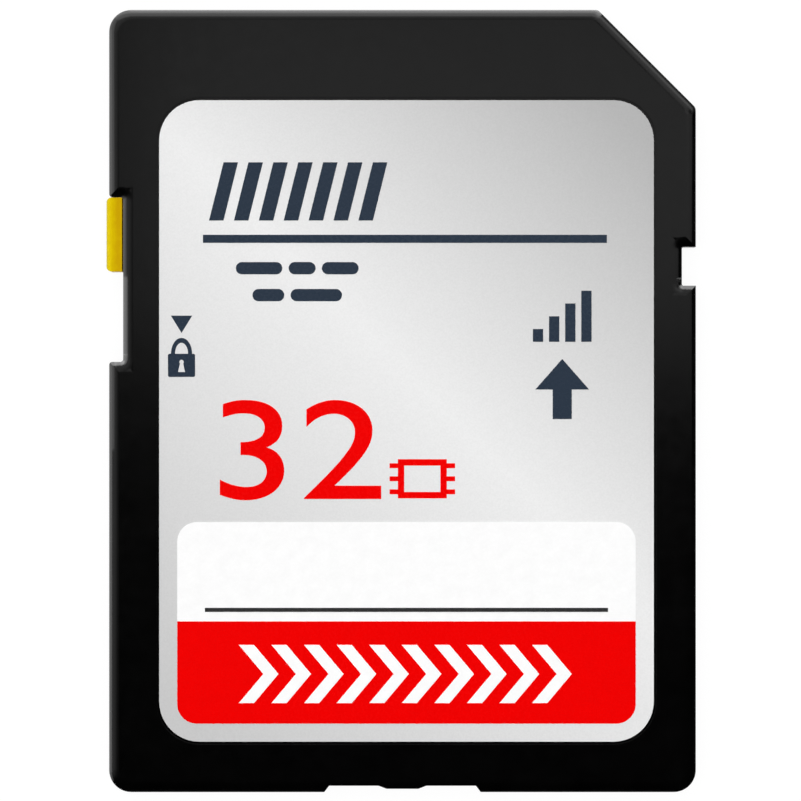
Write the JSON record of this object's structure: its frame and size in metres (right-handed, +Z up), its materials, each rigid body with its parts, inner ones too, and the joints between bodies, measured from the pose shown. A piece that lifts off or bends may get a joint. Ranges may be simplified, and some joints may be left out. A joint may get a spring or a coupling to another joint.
{
  "type": "sd memory card",
  "caption": "Flat keyed flash memory card with a moulded two-shell case, gold edge contacts, a recessed label and a sliding write-protect tab.",
  "frame": {"origin": "middle of the card's outline on its contact-side face, on which it lies", "axes": "+X across the card towards its keyed corner, +Y along it to the contact end, +Z up out of the label"},
  "size_m": [0.0241, 0.032, 0.0021],
  "materials": {
    "shell_plastic": "satin",
    "tab_plastic": "satin",
    "board_laminate": "satin",
    "label_foil": "satin",
    "white_ink": "satin",
    "red_ink": "satin",
    "navy_ink": "satin",
    "grey_ink": "satin",
    "contact_gold": "polished",
    "chip_resin": "matte",
    "capacitor_ceramic": "satin",
    "resistor_ceramic": "satin"
  },
  "bodies": {
    "card": {"front_cover": "shell_plastic", "rear_cover": "shell_plastic", "circuit_board": "board_laminate", "front_label": "label_foil", "white_panel_print": "white_ink", "red_band_print": "red_ink", "header_rule_print": "navy_ink", "writing_line_print": "grey_ink", "contact_pad_1": "contact_gold", "contact_pad_2": "contact_gold", "contact_pad_3": "contact_gold", "contact_pad_4": "contact_gold", "contact_pad_5": "contact_gold", "contact_pad_6": "contact_gold", "contact_pad_7": "contact_gold", "contact_pad_8": "contact_gold", "contact_pad_9": "contact_gold", "flash_memory_chip": "chip_resin", "controller_chip": "chip_resin", "capacitor_1": "capacitor_ceramic", "capacitor_2": "capacitor_ceramic", "capacitor_3": "capacitor_ceramic", "capacitor_4": "capacitor_ceramic", "capacitor_5": "capacitor_ceramic", "capacitor_6": "capacitor_ceramic", "resistor_1": "resistor_ceramic", "resistor_2": "resistor_ceramic", "resistor_3": "resistor_ceramic", "resistor_4": "resistor_ceramic", "resistor_5": "resistor_ceramic", "resistor_6": "resistor_ceramic"},
    "tab": {"write_protect_tab": "tab_plastic"}
  },
  "joints": [
    {"name": "write_protect_slide", "type": "slide", "parent": "card", "child": "tab", "axis": [0, -1, 0], "range_m": [0, 0.00365]}
  ]
}
